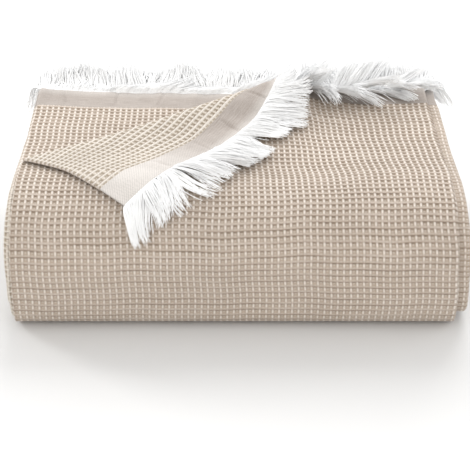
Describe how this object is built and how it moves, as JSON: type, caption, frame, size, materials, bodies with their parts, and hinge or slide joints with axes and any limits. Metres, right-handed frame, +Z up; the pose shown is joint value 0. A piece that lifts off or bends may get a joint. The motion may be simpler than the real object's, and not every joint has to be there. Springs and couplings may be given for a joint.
{
  "type": "folded bedspread",
  "caption": "Folded waffle-weave bedspread with plain woven bands and a yarn fringe at its ends and a turned-over top corner. Lies flat on a surface.",
  "frame": {"origin": "on the surface the stack rests on, under the middle of its top panel's width and 58 mm behind the line where its front begins to round", "axes": "+X to the right along the stack's long side, as seen from the front; +Y from the rounded front to the fringed back; +Z up"},
  "size_m": [0.4804, 0.3763, 0.1752],
  "materials": {
    "waffle_cotton": "matt woven cotton",
    "fringe_yarn": "matt loose cotton yarn"
  },
  "bodies": {
    "root": {"waffle_cloth": "waffle_cotton", "fringe_upper": "fringe_yarn", "fringe_under": "fringe_yarn"}
  },
  "joints": []
}
